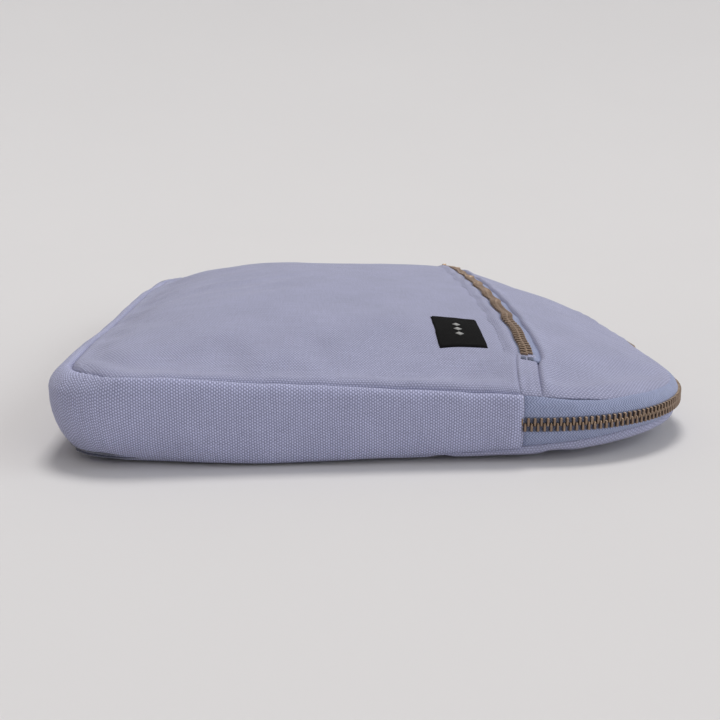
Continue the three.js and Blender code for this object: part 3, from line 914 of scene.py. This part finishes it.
def plain_weave(n, u, v, pitch_u, pitch_v):
    """Height of a plain weave. Where the heavy yarns come up they make a chequer of round dots."""
    wave_v = n.wave(v, pitch_v)
    dots = n.math("MULTIPLY_ADD", n.times(n.wave(u, pitch_u), wave_v), 0.5, 0.5)
    return n.math("MULTIPLY_ADD", dots, 0.62, n.times(n.math("ABSOLUTE", wave_v), 0.38))


def canvas_material(name, light, dark, pitch_u, pitch_v, relief_depth):
    """Duck canvas: a plain weave of thick and thin yarns, slightly uneven, with a soft nap and
    painted shade in the valleys between the yarns.
    """
    material, n, shader = new_material(name)
    uv, u, v = n.cloth_uv()
    wander = n.times(n.math("SUBTRACT", n.noise(uv, 0.09), 0.5), 1.2)
    u, v = n.plus(u, wander), n.plus(v, wander)
    height = plain_weave(n, u, v, pitch_u, pitch_v)
    warp_slub = n.noise(n.combine(n.times(u, 1 / pitch_u), n.times(v, 0.08)), 1.0, 1.0)
    weft_slub = n.noise(n.combine(n.times(u, 0.08), n.times(v, 1 / pitch_v)), 1.0, 1.0)
    speckle = n.noise(uv, 1.3, 1.0)
    slub = n.plus(n.times(warp_slub, 0.3), n.times(weft_slub, 0.3))
    slub = n.plus(slub, n.times(speckle, 0.4))
    blotch = n.noise(uv, 0.035, 3.0, 0.55)
    # Painted shade: the colour runs from the dark one in the weave's valleys to the light one on
    # the raised yarns, besides the bump.
    colour = n.mix(n.ramp(height, 0.0, 1.0, 0.12, 0.95), dark, light)
    colour = n.vary(colour, slub, 0.88, 1.12)
    colour = n.vary(colour, blotch, 0.95, 1.05)
    relief = n.bump(n.plus(height, n.times(n.noise(uv, 6.0), 0.2)), relief_depth, 0.85)
    set_shader(n, shader, colour, relief, Roughness=0.92, Sheen_Weight=0.2, Sheen_Roughness=0.45,
               Specular_IOR_Level=0.2)
    return material


def tape_material():
    """Zip tape: a fine herringbone twill, bluer than the canvas, with painted shade under and
    between the teeth.
    """
    material, n, shader = new_material("zip_tape")
    uv, u, v = n.cloth_uv()
    stripe = n.wave(n.plus(n.math("PINGPONG", u, 1.7), v), 0.625)
    height = n.plus(n.plus(n.times(stripe, 0.35), n.times(n.wave(v, 0.25), 0.15)), 0.5)
    colour = n.mix(height, (0.170, 0.201, 0.332, 1), (0.417, 0.458, 0.660, 1))
    colour = n.vary(colour, n.noise(uv, 0.25), 0.94, 1.06)
    # Painted shade: the tape is darkened within 2.9 mm of the chain's middle, where the teeth shade
    # it.
    colour = n.shade(colour, n.ramp(u, 0.42, 1.0, 2.3, 2.9))
    set_shader(n, shader, colour, n.bump(height, 0.25, 0.8), Roughness=0.85, Sheen_Weight=0.2,
               Specular_IOR_Level=0.25)
    return material


def brass_material(name, dark, rubbed):
    """Antique brass: brown and dull in its recesses, rubbed brighter where it stands out."""
    material, n, shader = new_material(name)
    spots = n.noise(n.place(), 900.0, 3.0, 0.6)
    worn = n.ramp(n.add("ShaderNodeNewGeometry", output="Pointiness"), 0.0, 1.0, 0.47, 0.58)
    worn = n.times(worn, n.ramp(spots, 0.35, 1.0, 0.3, 0.7))
    set_shader(n, shader, n.mix(worn, dark, rubbed), n.bump(spots, 0.03, 0.5), Metallic=0.9)
    n.feed(shader.inputs["Roughness"], n.ramp(spots, 0.3, 0.5))
    return material


def lining_material():
    """Smooth lining cloth with a fine, tight weave."""
    material, n, shader = new_material("lining")
    uv, u, v = n.cloth_uv()
    height = plain_weave(n, u, v, 0.3, 0.3)
    colour = n.mix(height, (0.05, 0.055, 0.085, 1), (0.12, 0.13, 0.19, 1))
    colour = n.vary(colour, n.noise(uv, 0.03, 3.0), 0.9, 1.1)
    set_shader(n, shader, colour, n.bump(height, 0.05, 0.4), Roughness=0.7, Sheen_Weight=0.3)
    return material


def label_material():
    """Black damask label: fine ribs across, with a trace of grey where light catches them."""
    material, n, shader = new_material("label")
    _, u, v = n.cloth_uv()
    height = n.times(n.math("ABSOLUTE", n.wave(u, 0.42)), n.math("ABSOLUTE", n.wave(v, 0.3)))
    colour = n.mix(height, (0.004, 0.004, 0.004, 1), (0.014, 0.0135, 0.014, 1))
    set_shader(n, shader, colour, n.bump(height, 0.12, 0.8), Roughness=0.95,
               Specular_IOR_Level=0.1)
    return material


def thread_material(name, colour):
    """Twisted sewing thread."""
    material, n, shader = new_material(name)
    twist = n.noise(n.place(), 2600.0, 1.0)
    colour = n.vary(colour, twist, 0.75, 1.15)
    set_shader(n, shader, colour, n.bump(twist, 0.08, 0.6), Roughness=0.75, Sheen_Weight=0.2)
    return material


def paper_material():
    material, n, shader = new_material("studio_paper")
    grain = n.noise(n.place(), 3.0, 3.0)
    colour = n.shade((0.70, 0.686, 0.687, 1), n.ramp(grain, 0.985, 1.015))
    n.feed(shader.inputs["Base Color"], colour)
    shader.inputs["Roughness"].default_value = 0.9
    return material


# Each canvas's light colour is for its raised yarns; its dark colour is painted shade in the
# valleys between them.
panel_canvas = canvas_material(
    "canvas_panel", (0.462, 0.471, 0.645, 1), (0.205, 0.212, 0.322, 1), 0.62, 1.0, 0.26)
band_canvas = canvas_material(
    "canvas_band", (0.61, 0.625, 0.86, 1), (0.15, 0.157, 0.27, 1), 0.58, 0.94, 0.36)
teeth_brass = brass_material("antique_brass_teeth", (0.285, 0.205, 0.15, 1), (0.74, 0.59, 0.45, 1))
slider_brass = brass_material("antique_brass_sliders", (0.16, 0.11, 0.075, 1),
                              (0.3, 0.215, 0.15, 1))
canvas_thread = thread_material("thread_canvas", (0.30, 0.31, 0.44, 1))
motif_thread = thread_material("thread_grey", (0.32, 0.32, 0.31, 1))

# Each kind of cloth: its material, its thickness and its slot.
CLOTHS = {
    "panel": (panel_canvas, CANVAS_THICKNESS, "canvas"),
    "band": (band_canvas, CANVAS_THICKNESS, "canvas"),
    "tape": (tape_material(), TAPE_THICKNESS, "zip_tape"),
    "lining": (lining_material(), LINING_THICKNESS, "lining"),
    "label": (label_material(), LABEL_THICKNESS, "label"),
}


# ---- canvas pieces

def cloth_piece(kind, name, points, uv, *replaced, flip=False):
    """A piece of one of the CLOTHS, in place of the CAD solids that it replaces."""
    material, thickness, slot = CLOTHS[kind]
    piece = thicken(paint(grid_object(name, points, uv, flip), material), thickness)
    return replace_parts(piece, *replaced)


def make_front():
    points = pocket_panel()
    pocket = cloth_piece("panel", "pocket_front_canvas", points, cloth_uv(points), "pocket_front")
    bend_at_fold(pocket)

    points = upper_panel()
    upper = cloth_piece("panel", "upper_front_canvas", points, cloth_uv(points),
                        "upper_front_panel")
    bend_at_fold(upper)


def make_tabs():
    for side, word in ((-1, "near"), (1, "far")):
        points = tab_panel(side)
        tab = cloth_piece("panel", f"pocket_tab_{word}_canvas", points, cloth_uv(points),
                          f"pocket_zip_tab_{word}", flip=side < 0)
        bend_at_fold(tab)
        declare_sheet(tab)


def make_back():
    points = back_panel()
    back = cloth_piece("panel", "back_canvas", points, cloth_uv(points), "back_panel", flip=True)
    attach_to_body(back, "sleeve")


def make_side_band():
    points, _, run = side_band()
    side = cloth_piece("band", "side_band_canvas", points, strip_uv(points, run), "side_gusset",
                       flip=True)
    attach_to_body(side, "sleeve")


# ---- zips

def tooth_rings():
    """One tooth in its own frame: across the chain, along it and out of it."""
    rings = []
    for w, s, n in TOOTH:
        c = min(TOOTH_CHAMFER, s * 0.6)
        outline = [(-s + c, -n), (s - c, -n), (s, -n + c), (s, n - c),
                   (s - c, n), (-s + c, n), (-s, n - c), (-s, -n + c)]
        rings.append([(w, a, b) for a, b in outline])
    return np.array(rings)


def make_teeth(name, replaced, bends, centres, along, normal, widthways):
    """Copies one tooth to each place. Every row of the arrays is one tooth."""
    rings = tooth_rings()
    local = rings.reshape(-1, 3)
    tooth = tube_faces(np.arange(len(local)).reshape(rings.shape[:2]))
    vertices, faces = [], []
    for k, centre in enumerate(centres):
        basis = np.stack([widthways[k], along[k], normal[k]])
        vertices.append(centre + local @ basis)
        mirrored = np.linalg.det(basis) < 0
        faces.extend((face[::-1] if mirrored else face) + k * len(local) for face in tooth)
    teeth = new_object(name, to_frame(np.concatenate(vertices)), faces)
    teeth.data.polygons.foreach_set("use_smooth", [False] * len(teeth.data.polygons))
    soften_edges(teeth, 0.09, 2).angle_limit = math.radians(28)
    paint(teeth, teeth_brass)
    attach(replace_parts(teeth, replaced), bends)


def under_band(place, margin):
    """0 along the main zip, 1 where it runs on under the side band's folded ends."""
    return smooth((GUSSET_END_X + margin - place[:, 0:1]) / 3) * (np.abs(place[:, 1:2]) > 100)


def main_tape(upper):
    """A tape of the main zip, from under the chain out to its seam."""
    place, normal, run = mouth_path(2.0, UPPER_TAPE_START_X if upper else TEETH_START_X)
    x = place[:, 0:1]
    t = np.concatenate([np.linspace(0, 1, 13), [1.05]])[None, :]
    inner = place - normal * (SEAM_INSET + 0.4)
    seam = front_z(inner[:, 0:1], inner[:, 1:2]) - 0.5 if upper else bottom_seam_height(x) - 0.2
    start = MAIN_ZIP_Z + (0.3 if upper else -0.3)
    heights = start + (seam - start) * t
    reach = MAIN_ZIP_OFFSET + (SEAM_INSET if upper else bottom_inset(x))
    offsets = MAIN_ZIP_OFFSET - reach * t**2.6 - 2.6 * under_band(place, 1) - 2.5 * (t > 1)
    ripple = 0.16 * lattice_noise(run[:, None] + 700, t * 6 + (50 if upper else 0), 5.0, 51)
    offsets = offsets + ripple * np.sin(PI * np.minimum(t, 1))
    return sweep(place, normal, offsets, heights), run


def make_main_zip():
    for word, panel in (("upper", "upper_front_canvas"), ("lower", "back_canvas")):
        upper = word == "upper"
        points, run = main_tape(upper)
        strip = cloth_piece("tape", f"main_tape_{word}", points, strip_uv(points, run),
                            f"main_zip_tape_{word}", flip=not upper)
        attach(declare_sheet(strip), upper)

        place, normal, _ = mouth_path(TOOTH_PITCH / 2, TEETH_START_X)
        every_other = slice(0 if upper else 1, None, 2)
        place, normal = place[every_other], normal[every_other]
        flat = place + normal * (MAIN_ZIP_OFFSET - 2.4 * under_band(place, 0.5))
        centres = np.concatenate([flat, np.full((len(flat), 1), MAIN_ZIP_Z)], -1)
        out = np.concatenate([normal, np.zeros((len(flat), 1))], -1)
        along = np.cross(out, (0.0, 0.0, 1.0))
        widthways = np.tile([0.0, 0.0, 1.0 if upper else -1.0], (len(flat), 1))
        make_teeth(f"main_teeth_{word}", f"main_zip_teeth_{word}", upper,
                   centres, along, out, widthways)


def pocket_frame(y):
    """Places along the pocket chain, with the directions along it, across it and out of it."""
    step = 0.5
    x, z = zip_line_x(y), chain_z(y)
    ahead = unit(np.stack([
        zip_line_x(y + step) - zip_line_x(y - step),
        np.full_like(y, 2 * step),
        chain_z(y + step) - chain_z(y - step),
    ], -1))
    tilt = (front_z(x + 6, y) - front_z(x - 6, y)) / 12
    side = np.stack([np.ones_like(y), np.zeros_like(y), tilt], -1)
    side = unit(side - (side * ahead).sum(-1, keepdims=True) * ahead)
    return np.stack([x, y, z], -1), ahead, side, np.cross(side, ahead)


def make_pocket_zip():
    end = POCKET_ZIP_END + 4
    t = np.linspace(0, 1, 13)
    for word, panel in (("inner", "pocket_front_canvas"), ("outer", "upper_front_canvas")):
        sign = -1 if word == "inner" else 1
        y = np.arange(-end, end + 1, 2.0)
        centres, _, side, up = pocket_frame(y)
        first = 0.15 if sign < 0 else 0.3
        drop = -1.0 * smooth((t - first) / 0.25) - 0.7 * smooth((t - 0.5) / 0.4)
        reach = sign * (0.3 + POCKET_TAPE_REACH * t)
        points = centres[:, None] + side[:, None] * reach[:, None] + up[:, None] * drop[:, None]
        strip = cloth_piece("tape", f"pocket_tape_{word}", points, strip_uv(points, y),
                            f"pocket_zip_tape_{word}", flip=sign > 0)
        bend_at_fold(declare_sheet(strip))

        start = -POCKET_ZIP_END + 0.4 + (0 if sign < 0 else TOOTH_PITCH / 2)
        centres, ahead, side, up = pocket_frame(np.arange(start, POCKET_ZIP_END, TOOTH_PITCH))
        make_teeth(f"pocket_teeth_{word}", f"pocket_zip_teeth_{word}", True,
                   centres, ahead, up, side * sign)


# ---- stitches

def stitches(name, path, normals, bends, length, gap):
    """A row of stitches along a path of plan points, each a small rounded length of thread."""
    lengths = arc_lengths(path)
    angle = np.arange(THREAD_SIDES) * 2 * PI / THREAD_SIDES
    index = np.arange(len(STITCH) * THREAD_SIDES).reshape(len(STITCH), THREAD_SIDES)
    lift, radius = (THREAD_RADIUS * STITCH[:, 1:]).T[..., None, None]
    vertices, faces = [], []
    for k, start in enumerate(np.arange(0.4, lengths[-1] - length, length + gap)):
        run = start + length * STITCH[:, 0]
        centre = along_path(run, lengths, path)
        normal = along_path(run, lengths, normals)
        side = np.cross(unit(np.gradient(centre, axis=0)), normal)
        centre, normal, side = centre[:, None], normal[:, None], side[:, None]
        thread = side * np.cos(angle)[:, None] + normal * np.sin(angle)[:, None]
        vertices.append((centre + normal * lift + radius * thread).reshape(-1, 3))
        faces.extend(face + k * index.size for face in tube_faces(index))
    row = paint(new_object(name, to_frame(np.concatenate(vertices)), faces), canvas_thread)
    attach(row, bends)


def make_stitching():
    """Topstitching along the pocket's folded edge and down the side band's two folded ends."""
    y = np.arange(-POCKET_ZIP_END - 8, POCKET_ZIP_END + 8, 1.0)
    x = pocket_edge_x(y) - 6.2
    path = np.stack([x, y, front_z(x, y) - 0.32], -1)
    up = np.tile([0.0, 0.0, 1.0], (len(y), 1))
    stitches("pocket_edge_topstitch", path, up, True, length=2.7, gap=0.7)

    points, normal, run = side_band()
    for word, index in (("near", 1.7), ("far", len(run) - 2.7)):
        low = int(index)
        row = points[low] * (1 - index + low) + points[low + 1] * (index - low)
        row = row[4:-5]
        out = np.tile([*normal[low], 0.0], (len(row), 1))
        stitches(f"side_band_topstitch_{word}", row, out, False, length=2.2, gap=0.6)


# ---- label

def label_points(s, t):
    """Places on the label, as shares of its two sides, to plan points on the canvas."""
    x = LABEL_LOW[0] - CENTRE_X + s * (LABEL_HIGH[0] - LABEL_LOW[0])
    y = LABEL_LOW[1] + t * (LABEL_HIGH[1] - LABEL_LOW[1])
    return np.stack([x, y, front_z(x, y)], -1)


def make_label():
    s, t = np.meshgrid(np.linspace(0, 1, 24), np.linspace(0, 1, 36), indexing="ij")
    points = label_points(s, t)
    edge = np.minimum(np.minimum(s, 1 - s) * 20, np.minimum(t, 1 - t) * 33)
    wobble = 0.18 * lattice_noise(points[..., 0] + 50, points[..., 1] + 300, 4.0, 61)
    points[..., 2] += 0.15 + 0.65 * smooth(edge / 0.9) + 0.5 * wobble * smooth(edge / 2)
    points[..., 0] += wobble * (1 - smooth(edge / 2))
    uv = np.stack([s * LABEL_SIZE[0], t * LABEL_SIZE[1]], -1)
    label = cloth_piece("label", "label_cloth", points, uv, "woven_label")
    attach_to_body(declare_sheet(label), "sleeve")


def make_motif():
    """Three plain diamonds in a row on the label."""
    corners = []
    for middle in (0.34, 0.5, 0.66):
        s = 0.49 + 0.09 * np.array([-1, 0, 1, 0])
        t = middle + 0.055 * np.array([0, -1, 0, 1])
        corners.extend(label_points(s, t) + (0.0, 0.0, 0.95))
    faces = np.arange(len(corners)).reshape(-1, 4)
    motif = new_object("label_motif", to_frame(corners), faces)
    thicken(paint(motif, motif_thread), 0.12)
    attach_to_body(motif, "sleeve")


# ---- linings

def lining_sheet(name, x0, x1, surface, replaced, flip):
    columns = np.linspace(x0, x1, max(8, int((x1 - x0) / 5)))
    rows = np.sin(np.linspace(-PI / 2, PI / 2, 60))
    x = np.repeat(columns[:, None], len(rows), 1)
    y = rows[None, :] * half_length(x, LINER_INSET)
    points = np.stack([x, y, surface(x, y)], -1)
    piece = cloth_piece("lining", name, points, cloth_uv(points), *replaced, flip=flip)
    return declare_sheet(piece)


def lining_wrinkle(x, y, seed):
    return 0.5 * lattice_noise(x + 400, y + 400, 18, seed) * smooth(seam_depth(x, y) / 12)


def roof_z(x, y):
    padding = LINER_GAP + (LINER_DEPTH - LINER_GAP) * smooth(seam_depth(x, y) / 10)
    return front_z(x, y) - padding + lining_wrinkle(x, y, 71)


def floor_z(x, y):
    padding = LINER_GAP + (LINER_DEPTH - 2.0) * smooth(seam_depth(x, y) / 10)
    return back_z(x, y) + padding + lining_wrinkle(x, y, 72)


def make_linings():
    """The inside of the compartment: its floor, its roof in two parts, and its side."""
    edge, fold = HALF_WIDTH - LINER_INSET, BEND_END[0]
    floor = lining_sheet("compartment_floor", -edge, edge, floor_z,
                         ("lining_back", "foam_back"), False)
    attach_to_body(floor, "sleeve")
    roof = lining_sheet("compartment_roof", -edge, fold, roof_z,
                        ("lining_front", "foam_front", "pocket_back"), True)
    bend_at_fold(roof)
    flap = lining_sheet("flap_roof", fold, edge, roof_z,
                        ("lining_flap", "foam_flap"), True)
    bend_at_fold(flap)

    place, normal, run = base_path(4.0)
    t = np.linspace(0, 1, 9)[None, :]
    x = place[:, 0:1]
    low, high = bottom_seam_height(x) + 2.5, top_seam_height(x) - 2.5
    offsets = np.repeat(-4.6 + 1.2 * np.sin(PI * t), len(run), 0)
    points = sweep(place, normal, offsets, low + (high - low) * t)
    side = cloth_piece("lining", "compartment_side", points, strip_uv(points, run),
                       "lining_gusset", "foam_gusset")
    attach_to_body(declare_sheet(side), "sleeve")


# ---- sliders

def make_metal():
    """The sliders, bails, pulls and stops are CAD pieces. They only get softer edges and brass."""
    for name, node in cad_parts.items():
        if any(word in name for word in ("slider_body", "slider_bail", "pull_tab", "zip_stop")):
            soften_edges(paint(node, slider_brass), 0.2 if "stop" in name else 0.35, 3)


# ---- room, light and camera

def room_height(x, y):
    """The paper sweeps up close behind the sleeve, and further away into a low wall all round."""
    start, radius, steepest = 0.45, 2.6, math.radians(60)
    rounded = radius - np.sqrt(radius**2 - np.clip(y - start, 0, radius * math.sin(steepest)) ** 2)
    straight = np.maximum(0, y - start - radius * math.sin(steepest)) * math.tan(steepest)
    wall = 0.6 * np.maximum(0, np.hypot(x, y) - 7.0) ** 2
    return np.maximum(rounded + np.minimum(straight, 1.4), np.minimum(wall, 1.5))


def make_room():
    """The plain pale paper that the sleeve lies on, in metres."""
    rows = np.concatenate([np.linspace(-9.0, 0.45, 64), np.linspace(0.45, 3.0, 40)[1:],
                           np.linspace(3.0, 9.0, 41)[1:]])
    x, y = np.meshgrid(np.linspace(-9.0, 9.0, 121), rows, indexing="ij")
    points = np.stack([x, y, room_height(x, y)], -1)
    paper = new_object("studio_floor", points.reshape(-1, 3), grid_faces(x.shape))
    paint(paper, paper_material())


def make_sky():
    """Soft light from all round, a little warmer and dimmer from the left."""
    world = bpy.data.worlds.new("studio")
    bpy.context.scene.world = world
    world.use_nodes = True
    n = Nodes(world.node_tree)
    direction = n.add("ShaderNodeTexCoord", output="Generated")
    to_right = n.ramp(n.add("ShaderNodeSeparateXYZ", {0: direction}), 0.0, 1.0, -1.0, 1.0)
    colour = n.mix(to_right, (1.0, 0.95, 0.91, 1), (0.98, 0.975, 0.985, 1))
    background = world.node_tree.nodes["Background"]
    n.feed(background.inputs["Color"], colour)
    n.feed(background.inputs["Strength"], n.ramp(to_right, 0.25, 0.52))


def make_lights():
    for name, from_place, strength, width, colour in LIGHTS:
        data = bpy.data.lights.new(name, "SUN")
        data.energy = strength
        data.angle = math.radians(width)
        data.color = colour
        light = add_object(name, data)
        light.location = from_place
        light.rotation_euler = (-Vector(from_place)).to_track_quat("-Z", "Y").to_euler()


def make_camera():
    data = bpy.data.cameras.new("camera")
    data.lens = 50
    data.sensor_width = 36
    camera = add_object("camera", data)
    camera.location = tuple(to_frame(CAMERA_PLACE))
    camera.rotation_euler = (math.radians(90 - CAMERA_DOWN), 0, math.radians(-CAMERA_RIGHT))
    bpy.context.scene.camera = camera


make_camera()
make_room()
make_sky()
make_lights()
make_front()
make_tabs()
make_back()
make_side_band()
make_main_zip()
make_pocket_zip()
make_stitching()
make_label()
make_motif()
make_linings()
make_metal()

bpy.context.scene.view_settings.view_transform = "Standard"
